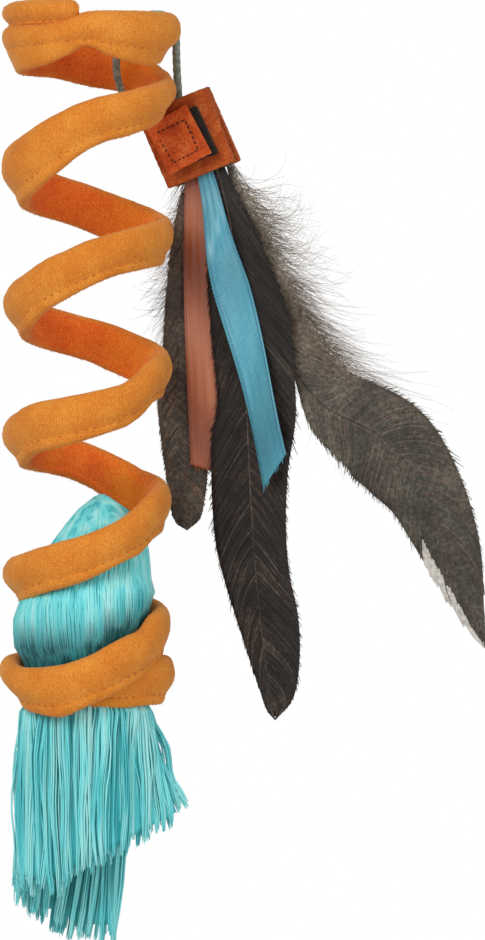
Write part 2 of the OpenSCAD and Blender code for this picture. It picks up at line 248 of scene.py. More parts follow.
def strand_piece(name, material, strands, depth, sides=0):
    """One mesh of many round strands; a strand is a list of (point, radius share)."""
    curve = bpy.data.curves.new(name, "CURVE")
    curve.dimensions = "3D"
    curve.bevel_depth = depth
    curve.bevel_resolution = sides
    curve.use_fill_caps = True
    for strand in strands:
        spline = curve.splines.new("POLY")
        spline.points.add(len(strand) - 1)
        for point, (place, share) in zip(spline.points, strand):
            point.co = (*place, 1)
            point.radius = share
    drawn = bpy.data.objects.new(name + "_drawn", curve)
    scene.collection.objects.link(drawn)
    mesh = bpy.data.meshes.new_from_object(drawn.evaluated_get(bpy.context.evaluated_depsgraph_get()))
    bpy.data.objects.remove(drawn)
    bpy.data.curves.remove(curve)
    mesh.name = name
    mesh.materials.clear()
    return linked_piece(mesh, name, material)


def smooth_step(x):
    x = min(1.0, max(0.0, x))
    return x * x * (3 - 2 * x)


def mixed(a, b, share):
    return a + (b - a) * share


print("mesh helpers ready")

# %% [markdown]
# ## The hanging cord
# A grey-green cord of two twisted plies loops over the ring, and both its ends are in the felt patch. It is limp and
# short, and the stretch behind the ring is a guess. It could be a plain round tube, but the twist shows, so the
# section has two lobes and turns as it is swept along a curve near its CAD solid.

# %% Route of the cord
CORD_D = 2.5 * MM
CORD_TWIST = 5.5 * MM
CORD_SIDES = 16
cord_points = [(24.2, 16.6, -21.4), (21, 17.6, -20.6), (18.4, 18.4, -20.8), (16, 17.6, -21.2), (13.2, 14.8, -21),
               (11, 11, -17.5), (9, 8, -11), (9, 6.5, -4.5), (11, 5.5, 1.5), (14.5, 5.5, 5.4), (18.5, 6.2, 7),
               (22, 7, 7.2), (24.9, 7.8, 6), (26.4, 8.4, 3.2), (26.7, 8.8, -1), (26.8, 10, -6), (27, 12.6, -11),
               (27.3, 15, -15.5), (27.3, 15.7, -18.5), (27.3, 15.8, -21)]


def smooth_route(points, steps):
    """A curve through the points, each stretch cut into steps."""
    places = [Vector(p) * MM for p in points]
    route = []
    for i in range(len(places) - 1):
        a, b = places[max(i - 1, 0)], places[i]
        c, d = places[i + 1], places[min(i + 2, len(places) - 1)]
        for s in (n / steps for n in range(steps)):
            route.append(0.5 * (2 * b + (c - a) * s + (2 * a - 5 * b + 4 * c - d) * s ** 2
                                + (3 * b - a - 3 * c + d) * s ** 3))
    return route + [places[-1]]


def route_lengths(route):
    lengths = [0.0]
    for a, b in zip(route, route[1:]):
        lengths.append(lengths[-1] + (b - a).length)
    return lengths


def frames_along(route):
    """Side and up of a tube that doesn't twist by itself."""
    frames = []
    side = Vector((-0.31, 0.95, 0))
    for i in range(len(route)):
        ahead = (route[min(i + 1, len(route) - 1)] - route[max(i - 1, 0)]).normalized()
        side = (side - ahead * side.dot(ahead)).normalized()
        frames.append((side, ahead.cross(side)))
    return frames


cord_route = smooth_route(cord_points, 8)
cord_run = route_lengths(cord_route)
cord_frames = frames_along(cord_route)
print("cord route of %d points" % len(cord_route))


# %% Cord
def twisted_ring(i):
    side, up = cord_frames[i]
    points = []
    for k in range(CORD_SIDES):
        a = TURN * k / CORD_SIDES
        lobe = CORD_D / 2 * (0.88 + 0.12 * abs(cos(a)))
        b = a + TURN * cord_run[i] / CORD_TWIST
        points.append(cord_route[i] + lobe * (cos(b) * side + sin(b) * up))
    return points


# Twisted polyester cord: fine plies catch the light as slanting grey-green glints. Threads 0.35 mm apart would be
# a pixel wide, so they are drawn 16 to the round.
cord_finish, tree, shader = new_material("twisted_cord", roughness=0.62, sheen_weight=0.25)
threads = maths(tree, "MULTIPLY", attribute(tree, "around"), 16 * TURN)
lay = maths(tree, "MULTIPLY", attribute(tree, "along"), 2600.0)
wave = maths(tree, "SINE", maths(tree, "ADD", threads, lay))
tone = maths(tree, "MULTIPLY_ADD", wave, 0.16, spots(tree, on_piece(tree), 700.0, 3.0))
dress(tree, shader, colour_ramp(tree, tone, (0.25, "#566254"), (0.5, "#7E8C7A"), (0.8, "#AEB8A4")), wave, 0.5, 0.15)

cord = piece_from(swept_tube([twisted_ring(i) for i in range(len(cord_route))], cord_run), "cord", cord_finish)
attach(cord, "ring")
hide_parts("hanging_cord")
print("cord %.1f mm long" % (cord_run[-1] / MM))

# %% [markdown]
# ## The path of the plush sleeve
# One sewn tube makes the end flap, the top ring, the open coil and the two wraps round the tassel. So it is one
# long sweep, and t counts its turns: whole numbers are at the right, a quarter later it is in front, then at
# the left, then behind. The open coil could follow one rule, as its CAD solid does. But the sleeve is stuffed,
# pressed and pulled by hand, so a table gives its edges all the way down, and a smooth curve runs through its rows.

# %% Edges of the sleeve
COIL_R, BAND_T = 22.3, 6.4
SLEEVE_START, SLEEVE_END = -0.735, 6.55

# Turn, top edge, seam line and lower edge, in millimetres.
edge_rows = [(-0.75, 11.0, 4.9, 3.7), (-0.62, 11.2, 4.6, 3.4), (-0.5, 10.2, 4.2, 2.8), (-0.35, 8.6, 2.6, 0.6),
             (-0.25, 7.0, 1.0, -1.4), (-0.12, 5.6, -0.9, -4.6), (-0.05, 5.7, -2.4, -6.4), (0.01, 7.2, -3.4, -7.6),
             (0.1, 7.7, -3.6, -8.6), (0.2, 7.8, -2.2, -5.8), (0.25, 7.5, -1.0, -2.9), (0.292, 5.4, -1.3, -5.7),
             (0.326, 4.2, -1.9, -7.5), (0.376, 3.8, -2.6, -9.4), (0.5, 3.7, -3.6, -10.8),
             (0.6, 1.6, -5.2, -11.3), (0.673, -0.2, -7.0, -11.8), (0.75, -1.6, -9.0, -14.1),
             (0.838, -4.0, -11.6, -16.2), (0.92, -7.4, -15.2, -20.0), (1, -11.7, -20.6, -24.0),
             (1.076, -13.8, -23.3, -27.0), (1.121, -15.0, -25.7, -28.5), (1.16, -16.2, -27.1, -30.0),
             (1.193, -17.1, -28.0, -30.9), (1.224, -18.0, -29.4, -32.4), (1.25, -19.2, -31.0, -34.2),
             (1.274, -20.4, -33.0, -36.3), (1.305, -22.5, -36.0, -39.6), (1.338, -24.6, -38.8, -42.6),
             (1.376, -27.3, -41.8, -45.6), (1.428, -30.3, -44.5, -48.3), (1.5, -33.0, -46.7, -50.4),
             (1.6, -36.6, -49.2, -52.5), (1.695, -41.1, -52.2, -55.2), (1.75, -43.5, -54.9, -57.9),
             (1.807, -46.5, -57.9, -60.9), (1.88, -49.8, -61.2, -64.2), (2, -53.7, -65.1, -68.1),
             (2.076, -55.2, -66.1, -69.0), (2.12, -56.4, -67.1, -69.9), (2.16, -57.6, -68.0, -70.8),
             (2.193, -58.8, -69.2, -72.0), (2.25, -61.2, -72.3, -75.3), (2.305, -64.5, -76.1, -79.2),
             (2.338, -66.3, -78.2, -81.3), (2.376, -69.0, -80.8, -84.0), (2.428, -72.0, -84.3, -87.6),
             (2.5, -74.7, -86.6, -89.7), (2.6, -78.3, -89.2, -92.1), (2.695, -81.6, -92.0, -94.8),
             (2.75, -83.7, -94.1, -96.9), (2.807, -85.8, -97.2, -100.2), (2.88, -89.4, -100.8, -103.8),
             (3, -93.6, -104.7, -107.7), (3.076, -96.3, -106.7, -109.5), (3.121, -99.9, -110.8, -113.7),
             (3.16, -103.2, -113.9, -116.7), (3.193, -104.7, -115.4, -118.2), (3.25, -106.5, -117.6, -120.6),
             (3.305, -108.0, -119.6, -122.7), (3.376, -109.5, -121.3, -124.5), (3.428, -111.9, -123.5, -126.6),
             (3.5, -114.3, -125.7, -128.7), (3.6, -117.0, -127.2, -129.9), (3.695, -119.4, -129.1, -131.7),
             (3.75, -121.5, -131.9, -134.7), (3.807, -124.8, -136.2, -139.2), (3.88, -129.3, -140.4, -143.4),
             (4, -133.2, -145.0, -148.2), (4.076, -136.2, -147.6, -150.6), (4.121, -139.8, -151.6, -154.8),
             (4.16, -143.1, -154.0, -156.9), (4.193, -145.5, -156.2, -159.0), (4.25, -148.8, -159.7, -162.6),
             (4.305, -150.9, -162.0, -165.0), (4.376, -153.3, -164.2, -167.1), (4.428, -154.8, -165.7, -168.6),
             (4.5, -156.0, -166.9, -169.8), (4.6, -157.8, -168.7, -171.6), (4.75, -162.3, -173.4, -176.4),
             (4.88, -166.8, -178.2, -181.2), (5, -170.1, -182.4, -185.7), (5.076, -172.8, -185.6, -189.0),
             (5.121, -177.3, -189.1, -192.3), (5.16, -179.1, -191.4, -194.7), (5.193, -181.2, -193.8, -197.1),
             (5.25, -185.4, -197.2, -200.4), (5.305, -187.8, -200.1, -203.4), (5.376, -188.7, -199.6, -202.5),
             (5.428, -188.1, -198.5, -201.3), (5.5, -185.4, -195.4, -198.0), (5.6, -184.2, -195.1, -198.0),
             (5.75, -184.8, -195.9, -198.9), (5.9, -185.1, -196.5, -199.5), (6, -185.1, -196.7, -199.8),
             (6.076, -185.4, -197.0, -200.1), (6.16, -186.3, -197.9, -201.0), (6.3, -186.9, -197.6, -200.4),
             (6.55, -185.4, -195.8, -198.6)]
# Turn, and how far the band leans out of the plain coil: the ring's right end bulges, and the last wrap is tucked in.
lean_rows = [(-0.75, 0.6), (-0.55, 0.1), (-0.12, 0.0), (-0.05, 0.6), (0.0, 2.4), (0.04, 3.1), (0.09, 2.2),
             (0.16, 0.6), (0.25, 0.1), (0.5, 0.0), (0.75, 0.0), (0.93, 0.4), (1.0, 1.2), (1.07, 0.6), (1.25, 0.0),
             (1.5, 0.2),
             (1.93, 0.2), (2.0, 0.6), (2.1, 0.1), (2.5, -0.4), (3.0, 0.0), (3.5, -0.1), (4.0, -0.2), (4.5, -0.3),
             (5.0, -0.4), (5.25, 0.3), (5.5, 0.7), (5.75, 0.3), (5.97, 1.0), (6.03, 0.3), (6.1, -2.6), (6.17, -5.6),
             (6.25, -7.2), (6.55, -7.2)]
print(len(edge_rows), "rows of edges")


# %% Sleeve path
def through_rows(rows, t):
    """Values between the rows of a table, on a smooth curve."""
    i = max(0, min(len(rows) - 2, sum(1 for row in rows if row[0] <= t) - 1))
    a, b = rows[i], rows[i + 1]
    before, after = rows[max(i - 1, 0)], rows[min(i + 2, len(rows) - 1)]
    h = b[0] - a[0]
    s = min(1.0, max(0.0, (t - a[0]) / h))
    out = []
    for k in range(1, len(a)):
        slope_a = (b[k] - before[k]) / (b[0] - before[0]) * h
        slope_b = (after[k] - a[k]) / (after[0] - a[0]) * h
        out.append((2 * s**3 - 3 * s**2 + 1) * a[k] + (s**3 - 2 * s**2 + s) * slope_a
                   + (3 * s**2 - 2 * s**3) * b[k] + (s**3 - s**2) * slope_b)
    return out


def sleeve_radius(t):
    return COIL_R + through_rows(lean_rows, t)[0]


def drawn_in(t, share):
    """How far the band leans in, where share runs from 0 at its top edge to 1 at its lower edge. Its lower half
    leans in most at the left, where the coil is bent hardest, and where it bulges."""
    at_left = max(0.0, -cos(TURN * t)) ** 3 * smooth_step(t)
    most = 0.9 + 2.4 * at_left + 1.1 * max(0.0, sleeve_radius(t) - COIL_R)
    return most * smooth_step((share - 0.42) / 0.5)


print("sleeve path of %.2f turns" % (SLEEVE_END - SLEEVE_START))

# %% [markdown]
# ## The plush sleeve
# The real sleeve is a strip of short-pile plush, sewn into a tube with its seam allowance left outside, so it has
# a fat tube above, a stitched crease, and a flat lip below. A section with these three parts is swept along the
# path in steps of a millimetre. Low noise makes the hand-stuffed lumps and the rough outline of the pile, and
# the crease puckers at every stitch. The ends close as a folded end does, by shrinking over the last stations.

# %% Plush sleeve
STATION = 0.95
STITCH_PITCH = 2.5
END_FOLD = 3.2
tube_profile = [(0, 0), (0.03, 0.34), (0.08, 0.56), (0.16, 0.76), (0.27, 0.92), (0.4, 1), (0.54, 0.99), (0.67, 0.94),
                (0.79, 0.86), (0.88, 0.77), (0.95, 0.67), (1, 0.6)]
lip_profile = [(0.12, 0.63), (0.3, 0.64), (0.5, 0.6), (0.7, 0.53), (0.86, 0.4), (0.95, 0.23), (1, 0)]


def sleeve_ring(t, run, total):
    top, seam, lower = through_rows(edge_rows, t)
    end = min(run, total - run) / END_FOLD
    closing = sqrt(max(0.0, 1 - (1 - end) ** 2)) if end < 1 else 1.0
    middle = (top + lower) / 2
    shrink = 0.5 + 0.5 * closing
    pucker = 0.05 * cos(TURN * run / STITCH_PITCH)
    angle = -TURN * t
    half = [(mixed(top, seam, s), w) for s, w in tube_profile]
    half += [(mixed(seam, lower, s), w) for s, w in lip_profile]
    out = Vector((cos(angle), sin(angle), 0))
    points = []
    for side, rows in ((1, half), (-1, half[-2:0:-1])):
        for z, w in rows:
            lean = -drawn_in(t, (top - z) / (top - lower))
            crease = 0.12 * cos(TURN * run / STITCH_PITCH) * exp(-((z - seam) / 0.9) ** 2)
            thick = (w * BAND_T / 2 + crease) * (closing if w else 0.0)
            place = out * (sleeve_radius(t) + lean + side * thick)
            place.z = middle + (z - middle) * shrink + pucker * exp(-((z - lower) / 1.5) ** 2)
            lump = 0.22 * noise.noise(place / 4.0) + 0.16 * noise.noise(place / 1.1)
            points.append((place + out * side * lump + Vector((0, 0, 0.5 * lump))) * MM)
    return points


def sleeve_stations():
    t, run, rows = SLEEVE_START, 0.0, []
    while t < SLEEVE_END:
        rows.append((t, run))
        t += STATION / (TURN * COIL_R)
        run += STATION
    return rows


stations = sleeve_stations()
sleeve_run = stations[-1][1]
sleeve_shape = swept_tube([sleeve_ring(t, run, sleeve_run) for t, run in stations],
                          [run * MM for _, run in stations])
print("sleeve of %d stations, %.0f mm long" % (len(stations), sleeve_run))

# %% Plush material
# Short-pile polyester plush: the pile lies in fine ribs across the band, the light side of each rib is a warm
# yellow-orange, and the sheen of many fibre tips lightens the rims. The inside of the band has painted shade, a
# darker and redder colour, and painted light makes it lighter towards the right of each turn.
RIB = 0.7 * MM

plush, tree, shader = new_material("short_pile_plush", "#FFD9A0", roughness=0.95, ior=1.45, sheen_weight=0.3,
                                   sheen_roughness=0.45)
where = on_piece(tree)
ribs = maths(tree, "MULTIPLY", attribute(tree, "along"), TURN / RIB)
rib = maths(tree, "SINE", maths(tree, "MULTIPLY_ADD", spots(tree, where, 450.0, 2.0), 9.0, ribs))
# Tufts 0.6 mm wide and worn patches 9 mm wide.
pile = maths(tree, "MULTIPLY_ADD", rib, 0.07, spots(tree, where, 1700.0, 3.0))
tone = maths(tree, "MULTIPLY_ADD", spots(tree, where, 110.0, 2.0), 0.55, pile)
outside = colour_ramp(tree, tone, (0.45, "#C66C1C"), (0.72, "#D67D22"), (1.0, "#E49638"))
# Painted shade inside the band, and painted light on it towards the right of each turn.
inside = colour_ramp(tree, tone, (0.45, "#CA5010"), (0.75, "#E2661A"), (1.0, "#EE8228"))
lit_inner_colour = colour_ramp(tree, tone, (0.45, "#DC6312"), (0.75, "#F57D1B"), (1.0, "#FA9A2A"))
sideways = add_node(tree, "SeparateXYZ", links={"Vector": where}).outputs["X"]
light_towards_right = add_node(tree, "MapRange", links={"Value": sideways}, values={"From Min": 3 * MM, "From Max": 14 * MM})
painted_light_and_shade_inside = colour_mix(tree, light_towards_right.outputs[0], inside, lit_inner_colour)
face = colour_ramp(tree, attribute(tree, "around"), (0.46, "#000000"), (0.62, "#FFFFFF"), (0.92, "#FFFFFF"),
                   (0.985, "#000000"))
dress(tree, shader, colour_mix(tree, face, outside, painted_light_and_shade_inside), pile, 0.34, 0.4)

sleeve = piece_from(sleeve_shape, "plush_sleeve", plush)
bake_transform(sleeve)
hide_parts("top_ring", "coil_sleeve", "tassel_wrap")
print("plush sleeve:", len(sleeve.data.polygons), "faces")

# Loose fibres stand up to half a millimetre out of the pile, most of them along the fold and the lip.
FIBRES, FIBRE_R = 15000, 0.045 * MM
dice = random.Random(3)
around_here = [value.value for value in sleeve.data.attributes["around"].data]
edge_spots = [v for v in sleeve.data.vertices if 0.42 < around_here[v.index] < 0.66 or around_here[v.index] > 0.9]
fibres = []
for i in range(FIBRES):
    v = dice.choice(edge_spots if i % 3 else sleeve.data.vertices)
    slip = Vector([dice.uniform(-0.5, 0.5) for _ in range(3)]) * MM
    root = v.co + slip - v.normal * slip.dot(v.normal)
    rise = (v.normal + Vector([dice.gauss(0, 0.4) for _ in range(3)])) * dice.uniform(0.15, 0.42) * MM
    fibres.append([(root - v.normal * 0.1 * MM, 1.0), (root + rise, 0.4)])
plush_fibres = strand_piece("plush_fibres", plush, fibres, FIBRE_R)
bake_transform(plush_fibres)
print("plush fibres:", len(fibres), "with", len(plush_fibres.data.polygons), "faces")

# %% [markdown]
# ## Stitches along the seam, and the wire inside
# A thread closes the sleeve just above its lip, one stitch each 2.5 mm. Each stitch is a short round strand on the
# crease, and the pile hides one in four of them. The steel wire runs in the fat part of the sleeve and stretches
# with it.

# %% Seam stitches and wire
# Polyester sewing thread, mercerised: a dull red-brown with a slight shine, in two twisted plies.
seam_thread = mottled("brown_sewing_thread", 2500.0, 2.0, "#A04C16", "#C06C26", roughness=0.7, sheen_weight=0.2)
TURN_RUN = TURN * COIL_R
# Half-lengths along the seam, height over it in millimetres and share of the thread's radius.
STITCH_FORM = ((-1, -0.2, 0.5), (-0.5, 0.06, 1), (0.5, 0.06, 1), (1, -0.2, 0.5))


def on_seam(t, proud):
    top, seam, lower = through_rows(edge_rows, t)
    angle = -TURN * t
    r = sleeve_radius(t) - drawn_in(t, (top - seam) / (top - lower)) + 0.6 * BAND_T / 2 + proud
    return Vector((r * cos(angle), r * sin(angle), seam)) * MM


dice = random.Random(11)
stitches = []
stitch_run = 6.0
while stitch_run < sleeve_run - 8:
    t = SLEEVE_START + stitch_run / TURN_RUN
    reach = dice.uniform(0.35, 0.75)
    if dice.random() < 0.75:
        stitches.append([(on_seam(t + step * reach / TURN_RUN, proud), share) for step, proud, share in STITCH_FORM])
    stitch_run += STITCH_PITCH
seam_stitches = strand_piece("seam_stitches", seam_thread, stitches, 0.14 * MM, 1)
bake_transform(seam_stitches)
print(len(stitches), "stitches on the seam")

# %% Spring wire and its end caps
# Spring steel wire, drawn and zinc plated: a dull grey metal with fine drawing lines.
spring_steel = mottled("zinc_plated_spring_steel", 900.0, 3.0, "#8E9092", "#B9BBBD", roughness=0.38, metallic=1.0)
# Moulded PVC caps: black, slightly mottled and half matt.
moulded_pvc = mottled("moulded_black_pvc", 1200.0, 3.0, "#1C1C1E", "#2E2E31", 0.2, roughness=0.5, ior=1.53)
WIRE_D, WIRE_SIDES, WIRE_END = 1.8, 8, 0.06
WIRE_STEPS = 32  # in one turn


def wire_ring(t):
    top, seam, _ = through_rows(edge_rows, t)
    out = Vector((cos(-TURN * t), sin(-TURN * t), 0))
    middle = out * sleeve_radius(t) + Vector((0, 0, (top + seam) / 2))
    return [(middle + WIRE_D / 2 * (cos(a) * out + sin(a) * Vector((0, 0, 1)))) * MM
            for a in (TURN * k / WIRE_SIDES for k in range(WIRE_SIDES))]


wire_count = int((SLEEVE_END - SLEEVE_START - 2 * WIRE_END) * WIRE_STEPS)
wire_turns = [SLEEVE_START + WIRE_END + i / WIRE_STEPS for i in range(wire_count)]
wire = piece_from(swept_tube([wire_ring(t) for t in wire_turns]), "spring_wire_in_sleeve", spring_steel)
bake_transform(wire)
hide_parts("spring_wire")


def finish_node(name, material):
    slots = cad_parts[name].data.materials
    slots.clear()
    slots.append(material)


for cap in ("wire_tip_top", "wire_tip_bottom"):
    finish_node(cap, moulded_pvc)
print("wire of %d rings" % len(wire_turns))

# %% [markdown]
# ## The tassel's head
# The tassel is a hank of silky aqua strands. Its head stands inside the lowest turns, bulges out between the bands
# and is squeezed to a waist by the wraps. A smooth core gives the body, and a few hundred strands lie on it, so
# that light and shade run along them. The strands lean a little, as a hank does that was twisted into place.

# %% Tassel material
# Viscose tassel yarn, brushed: bright aqua on the strands' backs, deep teal between them, with a silky shine.
def yarn_material(name, *stops):
    material, tree, shader = new_material(name, "#CFF5F0", roughness=0.48, ior=1.46, sheen_weight=0.2,
                                          sheen_roughness=0.3, anisotropic=0.4)
    where = on_piece(tree)
    # Strands 0.9 mm wide and 40 mm long, and locks 3 mm wide: both patterns are stretched along the hang of the yarn.
    streaks = spots(tree, scaled(tree, where, 1100.0, 1100.0, 25.0), 1.0, 3.0, roughness=0.6)
    locks = spots(tree, scaled(tree, where, 330.0, 330.0, 16.0), 1.0, 1.0)
    loose = colour_ramp(tree, maths(tree, "MULTIPLY_ADD", streaks, 0.5, locks), *stops)
    # Painted shade: just above the wraps the yarn is darkened in patches, where little light gets in.
    patchy_painted_shade = maths(tree, "MULTIPLY", attribute(tree, "wrap_shade"), locks)
    painted_shade = maths(tree, "MULTIPLY", patchy_painted_shade, 1.9)
    dress(tree, shader, colour_mix(tree, painted_shade, loose, "#1C6468"), streaks, 0.5, 0.3)
    return material


aqua_yarn = yarn_material("brushed_viscose_yarn", (0.52, "#3FB9BF"), (0.7, "#76E0E3"), (0.86, "#98E9E8"),
                          (1.0, "#B4EFED"))
# A darker copy of the yarn for the cores inside the skirts: painted shade of the strands deep in the hank.
shaded_inner_yarn = yarn_material("shaded_inner_viscose_yarn", (0.55, "#2AA3A9"), (0.8, "#50CACF"), (1.0, "#74DDE0"))
print("aqua yarn ready")

# %% Tassel head
HEAD_TOP, HEAD_BOTTOM = -136.8, -196.0
HEAD_RINGS, HEAD_SIDES = 30, 72
HEAD_STRANDS, STRAND_STEPS = 620, 14
# Level, radius and middle of the head, from its waist to its tip, which leans right behind a turn of the coil.
head_rows = [(-196.0, 15.5, 0.0), (-190.0, 17.0, -0.5), (-186.0, 18.0, -1.0), (-181.0, 18.6, -1.0),
             (-172.0, 18.8, -0.8), (-163.0, 18.4, 0.2), (-156.6, 16.2, 2.4), (-151.0, 13.6, 4.0),
             (-147.6, 12.0, 4.8), (-143.0, 8.9, 5.6), (-141.0, 6.0, 4.6), (-139.0, 3.0, 4.2), (-136.8, 0.9, 4.6)]


def free_room(angle, z):
    """Distance in height from the nearest band of the sleeve at this side, in millimetres."""
    t0 = (-angle / TURN) % 1.0
    room = 99.0
    for t in (t0 + 3, t0 + 4, t0 + 5, t0 + 6):
        if t < SLEEVE_END:
            top, _, lower = through_rows(edge_rows, t)
            room = min(room, max(z - top, lower - z))
    return room


def on_head(angle, z, proud=0.0):
    radius, middle = through_rows(head_rows, z)
    between = smooth_step((z + 189) / 6) * smooth_step((-160 - z) / 8)
    bulge = 1.9 * smooth_step((free_room(angle, z) + 2) / 6) * between
    lump = 0.4 * noise.noise(Vector((3 * cos(angle), 3 * sin(angle), z / 25)))
    r = radius + bulge + lump + proud
    return Vector((middle + r * cos(angle), r * sin(angle), z)) * MM


def mark_wrap_shade(piece):
    """Painted shade on the yarn: full down at the wraps, whose top edge rises to the right, and none 14 mm above."""
    painted_shade = piece.data.attributes.new("wrap_shade", "FLOAT", "POINT")
    for v, value in zip(piece.data.vertices, painted_shade.data):
        height = v.co.z - 0.5 * max(0.0, v.co.x)
        value.value = 1 - smooth_step((height + 185.5 * MM) / (14 * MM))


head_levels = [mixed(HEAD_BOTTOM, HEAD_TOP, i / HEAD_RINGS) for i in range(HEAD_RINGS + 1)]
head_shape = swept_tube([[on_head(TURN * k / HEAD_SIDES, z, -0.1) for k in range(HEAD_SIDES)] for z in head_levels])
head_core = piece_from(head_shape, "tassel_head_core", aqua_yarn)
# The yarn of the head gets painted shade above the wraps.
mark_wrap_shade(head_core)
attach(head_core, "lower")
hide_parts("tassel_head")

dice = random.Random(11)
head_strands = []
for i in range(HEAD_STRANDS):
    start = TURN * i / HEAD_STRANDS + dice.uniform(-0.012, 0.012)
    lean = dice.uniform(0.12, 0.42)
    proud = dice.uniform(-0.25, 0.3)
    strand = []
    for k in range(STRAND_STEPS + 1):
        z = mixed(HEAD_TOP - 0.6, HEAD_BOTTOM + 1, k / STRAND_STEPS)
        angle = start + lean * (k / STRAND_STEPS - 0.5) + 0.03 * noise.noise(Vector((i * 1.7, k * 0.6, 0)))
        strand.append((on_head(angle, z, proud), 0.35 if k in (0, STRAND_STEPS) else 1.0))
    head_strands.append(strand)
head_yarn = strand_piece("tassel_head_strands", aqua_yarn, head_strands, 0.3 * MM)
mark_wrap_shade(head_yarn)
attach(head_yarn, "lower")
print(len(head_strands), "strands on the head")

# %% [markdown]
# ## The tassel's skirts
# Below the wraps the strands fall in two layers: a front one, cut slanting and fanned out to the right, and a
# longer one behind it. Yarn hangs in locks, so each lock gets a root, an end and a length, and its strands
# part a little on the way and close up again at the tip. That gives the ragged lower edge with gaps between locks.

# %% Locks of yarn
SKIRT_TOP = -195.0
LOCK_STRANDS, LOCK_STRAND_R = 12, 0.33 * MM
# Where a lock ends, from the left of the layer to the right: share across, x and z of its end.
front_ends = [(0.0, -22.5, -253.5), (0.2, -16.5, -255.6), (0.36, -7.0, -255.3), (0.44, -3.0, -252.0),
              (0.55, 2.5, -249.0), (0.66, 8.4, -245.6), (0.76, 14.0, -242.0), (0.86, 20.0, -238.5),
              (0.93, 25.0, -236.0), (1.0, 30.2, -232.5)]
back_ends = [(0.0, -21.6, -258.5), (0.2, -17.0, -263.0), (0.45, -10.0, -267.0), (0.65, -5.0, -269.4),
             (0.8, 0.0, -271.0), (1.0, 9.6, -271.2)]


def lock_spot(across, depth, side, ends, u, sway=(0, 0), longer=0.0):
    """A place on a lock: side is -1 in front and 1 behind, depth a share of the layer's thickness, u runs down."""
    end_x, end_z = through_rows(ends, across)
    a = pi * (1 - across)
    root = Vector((14.5 * cos(a) * depth, side * 13 * sin(a) * depth, SKIRT_TOP))
    spread = 10.8 if side > 0 and across > 0.5 else 19.2
    hip = Vector((spread * cos(a) * (0.6 + 0.4 * depth), side * (1 + 15 * sin(a) * depth), -202.5))
    tip = Vector((end_x, side * (1.5 + 12.0 * sin(a) * depth), end_z - longer))
    if u < 0.2:
        return root.lerp(hip, smooth_step(u / 0.2))
    bow = sin(pi * (u - 0.2) / 0.8)
    return hip.lerp(tip, (u - 0.2) / 0.8) + Vector((sway[0] * bow, sway[1] * bow, 0))


def skirt_lock(across, depth, side, ends, dice):
    """The strands of one lock."""
    sway = [dice.uniform(-1.1, 1.1) for _ in range(2)]
    bends, longer = dice.uniform(0.5, 2.0), dice.uniform(-2.2, 2.2)
    strands = []
    for _ in range(LOCK_STRANDS):
        part = Vector((dice.gauss(0, 0.62), dice.gauss(0, 0.55), 0))
        short, seed = dice.uniform(0, 2.4), dice.uniform(0, 90)
        strand = []
        for k in range(11):
            u = k / 10
            place = lock_spot(across, depth, side, ends, u, sway, longer)
            place += part * (0.55 + 0.55 * sin(pi * u))
            place.x += (0.3 * noise.noise(Vector((seed, u * 5, 0)))
                        + bends * noise.noise(Vector((sway[0] * 50, u * 3.2, 0))))
            place.z += short * u
            strand.append((place * MM, (0.5, 0.9)[k > 0] if k < 9 else (0.8, 0.35)[k - 9]))
        strands.append(strand)
    return strands


print("locks of %d strands" % LOCK_STRANDS)


# %% Tassel skirts
def skirt_core(name, side, ends, depth):
    """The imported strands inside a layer, drawn as one closed slab, a little shorter than the locks."""
    bm = bmesh.new()
    bmesh.ops.create_grid(bm, x_segments=40, y_segments=24, size=1)
    for v in bm.verts:
        across, u = mixed(0.04, 0.96, (v.co.x + 1) / 2), (1 - v.co.y) / 2
        ripple = 0.5 * noise.noise(Vector((across * 22, u * 3, depth * 9)))
        v.co = (lock_spot(across, depth, side, ends, 0.06 + 0.88 * u) + Vector((0, side * ripple, 0))) * MM
    # The darker yarn paints the shade deep between the locks.
    core = piece_from(bm, name, shaded_inner_yarn)
    skin = core.modifiers.new("packed strands", "SOLIDIFY")
    skin.thickness, skin.offset = 1.2 * MM, 0
    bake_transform(core)


def skirt_layer(name, side, ends, depths, node, seed):
    dice = random.Random(seed)
    strands = []
    for depth, locks in depths:
        for i in range(locks):
            across = min(1.0, max(0.0, (i + 0.5 + dice.uniform(-0.3, 0.3)) / locks))
            strands += skirt_lock(across, depth, side, ends, dice)
    skirt = strand_piece(name, aqua_yarn, strands, LOCK_STRAND_R)
    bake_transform(skirt)
    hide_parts(node)
    print(name, len(strands), "strands")


skirt_core("tassel_front_core", -1, front_ends, 0.88)
skirt_core("tassel_back_core", 1, back_ends, 0.6)
skirt_layer("tassel_front_strands", -1, front_ends, [(1.0, 28), (0.8, 24), (0.5, 18)], "tassel_front_skirt", 5)
skirt_layer("tassel_back_strands", 1, back_ends, [(1.0, 20), (0.6, 16), (0.25, 12)], "tassel_back_skirt", 6)

# %% Binding of the tassel
# Cotton binding thread, wound side by side: teal rings 0.8 mm apart, dull, with painted shade in the gaps between
# them.
wound_thread, tree, shader = new_material("wound_cotton_thread", roughness=0.8, sheen_weight=0.2)
rings = add_node(tree, "TexWave", {"bands_direction": "Z"}, {"Vector": on_piece(tree)},
                 {"Scale": 390.0, "Distortion": 0.6, "Detail": 2.0}).outputs["Fac"]
dress(tree, shader, colour_ramp(tree, rings, (0.0, "#145A5C"), (0.5, "#23878A"), (1.0, "#4BB3B2")), rings, 0.6, 0.3)
finish_node("tassel_binding", wound_thread)
print("binding wound")

# %% [markdown]
# ## The felt patch
# Squares of thick craft felt hang from the cord in a stack, turned a little from the viewer and rolled clockwise.
# A square starts as a grid, is extruded to its thickness and bevelled, and its faces and cut edges are then
# roughened, because felt has no weave: it is a mat of fibres. The top square dips along its line of stitches.

